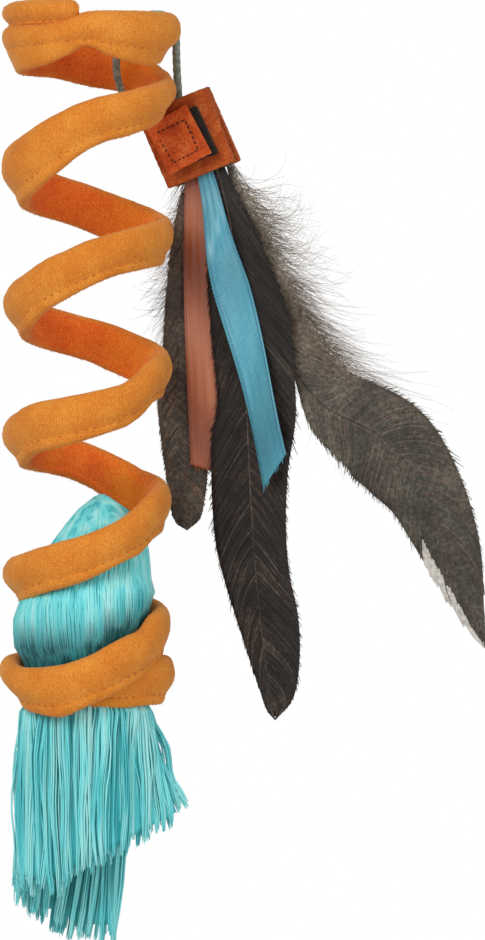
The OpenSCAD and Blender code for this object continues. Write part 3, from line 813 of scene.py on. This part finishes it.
# %% Felt material
HANG = Vector((25.8, 16.2, -21.6))
YAW = radians(15)
FELT_T = 2.6


def hung(x, depth, z):
    """A place on the hanging pieces: x to the right in their plane, depth back through them, z up. In metres."""
    return (HANG + Vector((x * cos(YAW) + depth * sin(YAW), depth * cos(YAW) - x * sin(YAW), z))) * MM


def on_square(corners, u, v):
    """A place on a hand-cut square: u and v run from -1 to 1, corners go from top left clockwise."""
    left, top = (1 - u) / 2, (1 + v) / 2
    shares = (left * top, (1 - left) * top, (1 - left) * (1 - top), left * (1 - top))
    return [sum(share * corner[k] for share, corner in zip(shares, corners)) for k in (0, 1)]


def felt_material(name, dark, middle, light):
    """Needled craft felt: matted fibres 0.3 mm wide in two or three tones, quite matt, fuzzy at grazing light."""
    material, tree, shader = new_material(name, light, roughness=0.95, ior=1.45, sheen_weight=0.3)
    where = on_piece(tree)
    fibres = spots(tree, where, 1500.0, 5.0, roughness=0.65, distortion=1.2)
    tone = maths(tree, "MULTIPLY_ADD", spots(tree, where, 260.0, 3.0), 0.6, fibres)
    dress(tree, shader, colour_ramp(tree, tone, (0.55, dark), (0.8, middle), (1.0, light)), fibres, 0.7, 0.5)
    return material


rust_felt = felt_material("rust_wool_felt", "#A0360C", "#C84F18", "#E07A38")
dark_felt = felt_material("dark_rust_wool_felt", "#8E360C", "#B24C18", "#CE7436")
black_felt = felt_material("black_wool_felt", "#070505", "#120E0C", "#2A231F")
print("felt in three colours")


# %% Felt squares
def felt_square(name, material, node, corners, front, thickness=FELT_T, pucker=0.0, taper=0.0):
    bm = bmesh.new()
    bmesh.ops.create_grid(bm, x_segments=36, y_segments=36, size=10)
    grown = bmesh.ops.extrude_face_region(bm, geom=list(bm.faces))["geom"]
    bmesh.ops.translate(bm, verts=[g for g in grown if isinstance(g, bmesh.types.BMVert)], vec=(0, 0, thickness))
    rims = [e for e in bm.edges if e.calc_face_angle(0) > 1]
    bmesh.ops.bevel(bm, geom=rims, offset=0.3, offset_type="OFFSET", segments=2, profile=0.5, affect="EDGES",
                    material=-1)
    bmesh.ops.recalc_face_normals(bm, faces=bm.faces)
    bm.normal_update()
    shove = {v: v.normal * (0.16 * noise.noise(Vector((v.co.x, v.co.y, v.co.z + front)) / 1.3)
                            + 0.12 * noise.noise(Vector((v.co.x, v.co.y, v.co.z - front)) / 0.5)) for v in bm.verts}
    for v in bm.verts:
        x, y, depth = v.co + shove[v]
        if pucker and v.co.z < thickness / 2:
            depth += pucker * (exp(-((max(abs(x), abs(y)) - 6) / 1.3) ** 2) - 0.35)
        narrow = 1 - taper * v.co.z / thickness
        px, pz = on_square(corners, x / 10 * narrow, y / 10 * narrow)
        v.co = hung(px, front + depth, pz)
    square = piece_from(bm, name, material)
    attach(square, "patch")
    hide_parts(node)
    return square


# Corners to the right and up from the hanging point, in millimetres, from the top left one clockwise.
back_corners = [(-10.1, 0.0), (9.9, 7.4), (19.9, -14.9), (-0.2, -22.8)]
front_corners = [(-10.0, -1.2), (11.6, 6.9), (20.3, -15.3), (-0.2, -23.4)]
black_corners = [(-4.6, -6.0), (9.0, 1.4), (15.8, -12.8), (3.4, -17.4)]
face_corners = [(-5.8, -5.0), (6.9, 1.8), (15.0, -12.9), (1.6, -19.6)]
core_corners = [(-6.4, -5.6), (10.2, 1.6), (14.1, -7.5), (-2.5, -14.7)]
squares = [felt_square("felt_back", dark_felt, "patch_back", back_corners, 2.95),
           felt_square("felt_front", dark_felt, "patch_front", front_corners, -5.55),
           felt_square("felt_black", black_felt, "patch_spacer", black_corners, -8.15),
           felt_square("felt_face", rust_felt, "patch_face", face_corners, -10.75, pucker=0.6, taper=0.07),
           felt_square("felt_core", dark_felt, "patch_core", core_corners, -2.95, thickness=5.9)]
print("felt squares:", sum(len(square.data.polygons) for square in squares), "faces")

# %% Patch stitches
# Waxed cotton thread: dark brown, matt, with light catching single fibres.
waxed_thread = mottled("dark_waxed_thread", 2200.0, 2.0, "#30100A", "#54200F", roughness=0.75, ior=1.4,
                       sheen_weight=0.05)
SIDE_STITCHES, STITCH_HALF = 6, 0.42
# Half-lengths along the stitch, depth in millimetres and share of the thread's radius.
ARCH = ((-1.3, -9.9, 0.8), (-0.7, -10.35, 1), (0, -10.45, 1), (0.7, -10.35, 1), (1.3, -9.9, 0.8))

stitch_corners = [(-2.6, -6.9), (6.5, -2.9), (10.6, -12.0), (2.9, -15.8)]
patch_rows = []
for i in range(4):
    a, b = Vector(stitch_corners[i]), Vector(stitch_corners[(i + 1) % 4])
    ahead = (b - a).normalized() * STITCH_HALF
    for k in range(SIDE_STITCHES):
        middle = a + (b - a) * (k + 0.5) / SIDE_STITCHES
        patch_rows.append([(hung((middle + ahead * step).x, depth, (middle + ahead * step).y), share)
                           for step, depth, share in ARCH])
patch_thread = strand_piece("patch_thread", waxed_thread, patch_rows, 0.28 * MM, 2)
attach(patch_thread, "patch")
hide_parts("patch_stitches")
print(len(patch_rows), "stitches hold the patch")

# %% [markdown]
# ## The satin ribbons
# Two narrow satin ribbons are sewn into the patch, gathered at the top and cut at the bottom. Each is a grid that
# is narrowed into its gather, laid along its lean and given slow waves. Its edges are overcast with tiny stitches.

# %% Satin material
def satin_material(name, dark, middle, light, rim_tone, painted_shine_strength):
    """Polyester satin: long floating threads shine in soft lengthwise streaks. Threads are about 0.2 mm apart."""
    material, tree, shader = new_material(name, light, roughness=0.36, sheen_weight=0.2, anisotropic=0.5)
    cut = add_node(tree, "UVMap").outputs["UV"]
    floats = spots(tree, scaled(tree, cut, 60.0, 5.0, 1.0), 1.0, 2.0)
    picks = spots(tree, scaled(tree, cut, 4.0, 420.0, 1.0), 1.0, 2.0)
    # Painted shine: a highlight painted into the colour comes and goes along the ribbon, over some 30 mm.
    shine = spots(tree, scaled(tree, cut, 0.4, 3.4, 1.0), 1.0, 0.0)
    cloth = maths(tree, "MULTIPLY_ADD", floats, 0.3, maths(tree, "MULTIPLY", picks, 0.2))
    lit = maths(tree, "MULTIPLY_ADD", shine, painted_shine_strength, cloth)
    mean, reach = 0.25 + 0.5 * painted_shine_strength, 0.07 + 0.1 * painted_shine_strength
    satin = colour_ramp(tree, lit, (mean - reach, dark), (mean, middle), (mean + reach, light))
    # The woven edge: a darker line 0.7 mm inside the rim, with a tiny loop each millimetre.
    split = add_node(tree, "SeparateXYZ", links={"Vector": cut}).outputs
    to_rim = maths(tree, "ABSOLUTE", maths(tree, "SUBTRACT", split["X"], 0.5))
    line = colour_ramp(tree, to_rim, (0.39, "#000000"), (0.42, "#FFFFFF"), (0.44, "#FFFFFF"), (0.47, "#000000"))
    loops = maths(tree, "SINE", maths(tree, "MULTIPLY", split["Y"], 95 * TURN))
    rim = maths(tree, "MULTIPLY", maths(tree, "MULTIPLY_ADD", loops, 0.3, 0.55), line)
    dress(tree, shader, colour_mix(tree, rim, satin, rim_tone), picks, 0.2, 0.2)
    return material


# The last number sets how strongly the painted shine lightens and darkens each ribbon.
copper_satin = satin_material("copper_polyester_satin", "#824228", "#9E5638", "#BA7452", "#6A301C", 0.9)
blue_satin = satin_material("blue_polyester_satin", "#2F7488", "#4592A6", "#62AEC0", "#1F5C70", 0.35)
print("satin in two colours")

# %% Ribbons
RIBBON_W = 10.0
RIBBON_T = 0.22 * MM
OVERCAST, SLANT, OVERCAST_R = 1.3 * MM, 0.35 * MM, 0.16 * MM
FRAYS = 16


def ribbon_place(u, v, root, front, length, lean, cut, gather, flare, power, wave, bow):
    """u runs across from -0.5 to 0.5, v from the gather to the cut end. The width opens from the gather over the
    length of the flare."""
    reach = length - (cut * (u + 0.5) if cut > 0 else -cut * (0.5 - u))
    s = v * reach
    width = mixed(gather, RIBBON_W, min(1.0, s / flare) ** power)
    x, z = width * u - bow * sin(pi * s / 75), -s
    # Where the ribbon is narrower than it is woven, the rest of its width lies in fine pleats.
    pleat = 0.2 * sqrt(max(0.0, 1 - width / RIBBON_W)) * cos(6 * pi * u)
    depth = front + 0.2 + pleat - wave * smooth_step((s - 8) / 26) * (1 + sin(s / 14 + 0.35 + 2 * u))
    turned = (x * cos(lean) - z * sin(lean), x * sin(lean) + z * cos(lean))
    return hung(root[0] + turned[0], depth, root[1] + turned[1])


def ribbon(name, material, node, body, size, place):
    bm = bmesh.new()
    bm.loops.layers.uv.new("cut")
    bmesh.ops.create_grid(bm, x_segments=16, y_segments=96, size=1, calc_uvs=True)
    for v in bm.verts:
        v.co = ribbon_place(v.co.x / 2, (1 - v.co.y) / 2, *place)
    band = piece_from(bm, name, material)
    skin = band.modifiers.new("cloth thickness", "SOLIDIFY")
    skin.thickness, skin.offset = RIBBON_T, 0
    edging = []
    slant = SLANT / size[1]
    for edge in (-0.5, 0.5):
        for i in range(int(size[1] / OVERCAST)):
            v = (i + 0.5) * OVERCAST / size[1]
            edging.append([(ribbon_place(edge * 0.9, v - slant, *place), 0.7),
                           (ribbon_place(edge * 1.02, v, *place), 1),
                           (ribbon_place(edge * 0.9, v + slant, *place), 0.7)])
    # A few threads fray from the cut end.
    dice = random.Random(len(edging))
    for _ in range(FRAYS):
        u, slip = dice.uniform(-0.48, 0.48), dice.uniform(-0.06, 0.06)
        edging.append([(ribbon_place(u + slip * step, 0.985 + 0.013 * step, *place), 0.8 - 0.2 * step)
                       for step in range(3)])
    overcast = strand_piece(name + "_overcast", material, edging, OVERCAST_R)
    for piece in (band, overcast):
        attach(piece, body)
    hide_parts(node)
    print(name, len(edging), "edge stitches")


# The last row holds the root, front, length, lean, cut, gather, flare, power, wave and bow of ribbon_place.
ribbon("copper_band", copper_satin, "copper_ribbon", "copper", (0.010, 0.0955),
       ((6.9, -14), -0.55, 95.5, radians(2), -3, 4.6, 90, 0.5, 0.05, 0.7))
ribbon("blue_band", blue_satin, "blue_ribbon", "blue", (0.010, 0.1015),
       ((9.4, -14), -2.65, 101.5, radians(14.5), 8, 4.2, 40, 1.0, 3.4, 0.0))

# %% [markdown]
# ## The feathers
# A feather is a shaft with barbs on both sides that hook together into a vane, and loose down near its root. Each
# shaft follows the curve of its CAD solid. A textured sheet alone would look like paper, so barbs are drawn one by
# one from the shaft out to the vane's edge in two or three tones, and a thin sheet between them closes the gaps. The
# widths on both sides are given along the shaft, from the photograph. Down is drawn as loose, partly curly strands.

# %% Feather materials
def feather_material(name, dark, middle, light, sheen_tint):
    """Keratin barbs: three close tones, streaked along each barb every millimetre, with a low oily shine."""
    material, tree, shader = new_material(name, sheen_tint, roughness=0.52, ior=1.36, sheen_weight=0.1)
    where = on_piece(tree)
    barbs = spots(tree, where, 900.0, 4.0, roughness=0.7)
    tone = maths(tree, "MULTIPLY_ADD", spots(tree, where, 90.0, 2.0), 0.6, barbs)
    dress(tree, shader, colour_ramp(tree, tone, (0.55, dark), (0.8, middle), (1.0, light)))
    return material


black_vane = feather_material("black_brown_barbs", "#080402", "#120B07", "#281D15", "#4E3C2E")
dark_vane = feather_material("dark_brown_barbs", "#17110D", "#2A211B", "#4C3F34", "#6E5A48")
grey_vane = feather_material("grey_brown_barbs", "#2E2822", "#483F37", "#6A5F53", "#8A7C6C")
soft_vane = feather_material("soft_grey_barbs", "#3E362F", "#5E544A", "#807466", "#9A8C7C")
light_vane = feather_material("pale_grey_barbs", "#544A41", "#72675B", "#928678", "#A6988A")
green_vane = feather_material("green_brown_barbs", "#272A23", "#3F4239", "#5E6053", "#7E8672")
pale_tip = feather_material("pale_barb_tips", "#A09A90", "#C6C1B8", "#E4E0D8", "#FFFFFF")
horn_shaft = feather_material("horn_shaft", "#1E1813", "#3A3028", "#6A5C4E", "#8A7C6C")
grey_down = feather_material("grey_brown_down", "#5A4D42", "#857666", "#B2A494", "#D8CCBE")
brown_down = feather_material("brown_down", "#43301F", "#6A4E38", "#987A5E", "#C8AC90")
print("feather materials ready")

# %% Form of a feather
def bend(shaft, s):
    return tuple((1 - s) ** 3 * a + 3 * s * (1 - s) ** 2 * b + 3 * s * s * (1 - s) * c + s ** 3 * d
                 for a, b, c, d in zip(*shaft))


def across(shaft, s):
    (x0, z0), (x1, z1) = bend(shaft, max(0, s - 0.01)), bend(shaft, min(1, s + 0.01))
    size = hypot(x1 - x0, z1 - z0)
    return (-(z1 - z0) / size, (x1 - x0) / size)


def vane_point(shaft, widths, s, side, share):
    """A point of the vane: share 0 is on the shaft and 1 on the edge; side 1 is the right side, -1 the left."""
    x, z = bend(shaft, s)
    left, right = through_rows(widths, s)
    n = across(shaft, s)
    w = max(0.0, right if side > 0 else left) * share * side
    return (x + n[0] * w, z + n[1] * w)


print("feather form ready")

# %% Feather builder
BARB_R, TIP_R, QUILL_R = 0.27 * MM, 0.38 * MM, 0.5 * MM
BARB_FORM = (1.0, 1.0, 1.0, 0.95, 0.85, 0.6, 0.2)  # share of the radius, from the shaft to the edge
QUILL_STEPS = 40


def feather(name, node, body, shaft, front, widths, vane_from, tones, barbs, seed, pale_from=None, bright=None):
    """tones are materials with their shares of the barbs at the root and at the tip, pale_from is where
    a pale left edge starts, bright is a material for the lighter barbs beside the shaft."""
    dice = random.Random(seed)
    middle = front + 0.55

    def place(s, side, share, depth):
        x, z = vane_point(shaft, widths, s, side, share)
        return hung(x, depth, z)

    quill = [(place(i / QUILL_STEPS, 1, 0, middle - 0.1), 1 - 0.8 * i / QUILL_STEPS) for i in range(QUILL_STEPS + 1)]
    pieces = [strand_piece(name + "_shaft", horn_shaft, [quill], QUILL_R, 2)]
    bm = bmesh.new()
    bmesh.ops.create_grid(bm, x_segments=12, y_segments=80, size=1)
    for v in bm.verts:
        s = mixed(vane_from, 0.995, (1 - v.co.y) / 2)
        v.co = place(s, 1 if v.co.x > 0 else -1, 0.93 * abs(v.co.x), middle)
    web = piece_from(bm, name + "_vane", tones[0][0])
    skin = web.modifiers.new("vane thickness", "SOLIDIFY")
    skin.thickness, skin.offset = 0.12 * MM, 0
    # The barbs sweep towards the tip; a few stand out of the edge.
    groups = [[] for _ in tones]
    tips, inner = [], []
    for side in (-1, 1):
        for i in range(barbs):
            s0 = mixed(vane_from - 0.05, 0.97, (i + dice.uniform(-0.5, 0.5)) / (barbs - 1))
            sweep = mixed(0.15, 0.07, s0) + dice.uniform(-0.01, 0.01)
            length = dice.uniform(0.93, 1.01) if dice.random() > 0.03 else dice.uniform(1.02, 1.1)
            lift = dice.uniform(-0.06, 0.02)
            strand = []
            for k, thick in enumerate(BARB_FORM):
                s = min(1.0, max(0.0, s0 + sweep * (k / 6) ** 1.2 * length))
                strand.append((place(s, side, k / 6 * length, middle + lift * k / 6), thick))
            dice.choices(groups, [mixed(root, tip, s0) for _, root, tip in tones])[0].append(strand)
            if bright and 0.2 < s0 < dice.uniform(0.6, 0.85) and dice.random() < 0.75:
                reach = dice.randint(3, 5)
                inner.append([(spot + Vector((0, -0.06 * MM, 0)), 0.8 - 0.7 * k / reach)
                              for k, (spot, _) in enumerate(strand[:reach + 1])])
            if pale_from and side < 0 and s0 > pale_from:
                tips.append([(spot + Vector((0, -0.1 * MM, 0)), thick)
                             for (spot, _), thick in zip(strand[4:], (1, 1, 0.6))])
    for n, (material, _, _) in enumerate(tones):
        pieces.append(strand_piece("%s_barbs_%d" % (name, n + 1), material, groups[n], BARB_R))
    if tips:
        pieces.append(strand_piece(name + "_pale_tips", pale_tip, tips, TIP_R))
    if inner:
        pieces.append(strand_piece(name + "_light_barbs", bright, inner, BARB_R))
    for piece in pieces + [web]:
        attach(piece, body)
    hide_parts(node)
    print(name, 2 * barbs, "barbs")


print("feather builder ready")

# %% Down builder
DOWN_R, DOWN_STEPS = 0.07 * MM, 7


def down(name, material, body, shaft, front, tufts, seed):
    """Loose down. A tuft has a number of strands, and from its first to its last strand: the share along the shaft,
    the heading in degrees and the length in millimetres; then how much its strands curl."""
    dice = random.Random(seed)
    strands = []
    for count, places, headings, lengths, curl in tufts:
        for _ in range(count):
            share = dice.random()
            x, z = bend(shaft, mixed(*places, share))
            turn = radians(mixed(*headings, share) + dice.gauss(0, 7))
            step = mixed(*lengths, share) * dice.uniform(0.6, 1.15) / DOWN_STEPS
            depth, lean, swing = front + dice.uniform(0.3, 0.9), abs(dice.gauss(0, 0.1)), dice.gauss(0, curl)
            strand = []
            for k in range(DOWN_STEPS + 1):
                strand.append((hung(x, depth, z), 1 - 0.11 * k))
                x, z, depth = x + step * cos(turn), z + step * sin(turn), depth + lean
                turn += swing * (k / 4) + dice.gauss(0, 0.05 + 0.3 * curl)
            strands.append(strand)
    fluff = strand_piece(name, material, strands, DOWN_R)
    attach(fluff, body)
    print(name, len(strands), "strands")


print("down builder ready")

# %% Feathers
left_shaft = [(5.3, -14), (2.6, -59.4), (-1.4, -91.6), (4.2, -126)]
centre_shaft = [(12.5, -13), (27.9, -55.7), (19.3, -119), (32.1, -183)]
right_shaft = [(15.5, -12.5), (49.6, -150.9), (56.8, -38.7), (96.5, -161.1)]
# Share along the shaft, and width of the vane left and right of it, in millimetres.
left_widths = [(0.04, 1.2, 0.6), (0.12, 3.4, 1.0), (0.18, 4.4, 2.9), (0.24, 4.9, 4.3), (0.36, 5.3, 6.6),
               (0.48, 5.6, 8.4), (0.6, 7.0, 9.5), (0.72, 6.1, 9.7), (0.84, 4.9, 9.0), (0.9, 4.6, 7.7),
               (0.95, 4.2, 6.0), (0.98, 3.0, 4.2), (1.0, 0.1, 0.1)]
centre_widths = [(0.0, 1.6, 2.0), (0.04, 3.0, 2.8), (0.08, 4.2, 3.8), (0.12, 5.6, 5.4), (0.18, 8.2, 8.2),
                 (0.24, 9.7, 10.7), (0.3, 10.4, 13.9), (0.36, 10.4, 16.1), (0.44, 9.8, 16.5), (0.5, 9.8, 16.5),
                 (0.53, 11.8, 15.9), (0.6, 12.8, 13.1), (0.66, 13.0, 11.7), (0.72, 12.6, 11.0), (0.78, 10.5, 11.3),
                 (0.84, 7.8, 12.7), (0.9, 5.3, 11.9), (0.96, 3.0, 8.7), (0.985, 2.0, 5.0), (1.0, 0.1, 0.1)]
right_widths = [(0.15, 0.5, 1.5), (0.2, 1.0, 4.5), (0.27, 1.8, 9.1), (0.32, 3.8, 10.7), (0.37, 6.9, 12.2),
                (0.42, 9.5, 13.0), (0.52, 13.0, 13.7), (0.62, 15.4, 14.3), (0.67, 16.3, 14.7), (0.72, 15.8, 14.6),
                (0.77, 15.0, 13.9), (0.82, 12.6, 12.9), (0.87, 11.3, 11.4), (0.92, 9.2, 8.7), (0.985, 3.4, 1.7),
                (1.0, 0.4, 0.4)]
feather("left_feather", "feather_left", "left_plume", left_shaft, 0.15, left_widths, 0.08,
        [(grey_vane, 6, 9), (dark_vane, 2, 1), (brown_down, 2, 0)], 240, 21)
feather("centre_feather", "feather_centre", "centre_plume", centre_shaft, -1.95, centre_widths, 0.0,
        [(black_vane, 10, 2), (dark_vane, 1, 6), (grey_vane, 0, 1)], 320, 22)
feather("right_feather", "feather_right", "right_plume", right_shaft, 1.55, right_widths, 0.22,
        [(grey_vane, 5, 9), (soft_vane, 6, 0), (green_vane, 0, 4)], 320, 23, pale_from=0.83, bright=light_vane)

down("left_down", brown_down, "left_plume", left_shaft, 0.15,
     [(150, (0.0, 0.1), (-112, -104), (14, 20), 0.02), (260, (0.08, 0.36), (-118, -112), (14, 22), 0.03),
      (120, (0.12, 0.34), (-178, -140), (9, 17), 0.16)], 31)
down("right_down", grey_down, "right_plume", right_shaft, 1.55,
     [(300, (0.0, 0.06), (-56, -44), (12, 22), 0.06), (380, (0.02, 0.1), (-14, -30), (18, 32), 0.3),
      (420, (0.04, 0.12), (-48, -40), (13, 22), 0.12), (1500, (0.08, 0.23), (-40, -34), (26, 48), 0.05),
      (70, (0.3, 0.42), (-72, -66), (16, 24), 0.06)], 32)

# %% [markdown]
# ## Floor and light
# The toy hangs above a floor of pale matt paper, which takes its soft shadow. Behind it there is nothing: the
# world is plain white to the camera and to reflections, as in a studio picture that is lit from behind, and an
# even pale sky to all other rays. More light comes from a large soft box at the upper left and a weaker one at
# the right.

# %% Stage
FLOOR_HALF, FLOOR_PLACE = 0.85, (0.05, 0, -0.46)
LIGHTS_AIM = (0.04, 0, -0.13)
SKY_STRENGTH = 0.44

# Matt seamless paper, faintly uneven.
paper = mottled("seamless_paper", 6.0, 2.0, "#E9E8E6", "#F1F0EE", roughness=0.9)
floor_shape = bmesh.new()
bmesh.ops.create_grid(floor_shape, x_segments=2, y_segments=2, size=FLOOR_HALF,
                      matrix=Matrix.Translation(FLOOR_PLACE))
piece_from(floor_shape, "floor", paper)


def soft_box(name, place, size, power):
    lamp = bpy.data.lights.new(name, "AREA")
    lamp.shape, lamp.size, lamp.size_y, lamp.energy = "RECTANGLE", size, size, power
    box = bpy.data.objects.new(name, lamp)
    box.location = place
    box.rotation_euler = (Vector(LIGHTS_AIM) - Vector(place)).to_track_quat("-Z", "Y").to_euler()
    scene.collection.objects.link(box)


soft_box("key", (-0.55, -1.0, 0.5), 0.7, 9.2)
soft_box("fill", (0.9, -0.9, 0.1), 0.8, 4.2)
sky = bpy.data.worlds.new("pale sky")
sky.use_nodes = True
tree = sky.node_tree
pale = tree.nodes["Background"]
pale.inputs["Color"].default_value = hex_colour("#F6F6F6")
pale.inputs["Strength"].default_value = SKY_STRENGTH
white = add_node(tree, "Background", values={"Strength": 1.0, "Color": hex_colour("#FFFFFF")})
ray = add_node(tree, "LightPath").outputs
seen = maths(tree, "MAXIMUM", ray["Is Camera Ray"], ray["Is Glossy Ray"])
show = add_node(tree, "MixShader", links={0: seen, 1: pale.outputs[0], 2: white.outputs[0]})
tree.links.new(show.outputs[0], tree.nodes["World Output"].inputs["Surface"])
scene.world = sky
scene.view_settings.view_transform = "Standard"
print("stage lit")
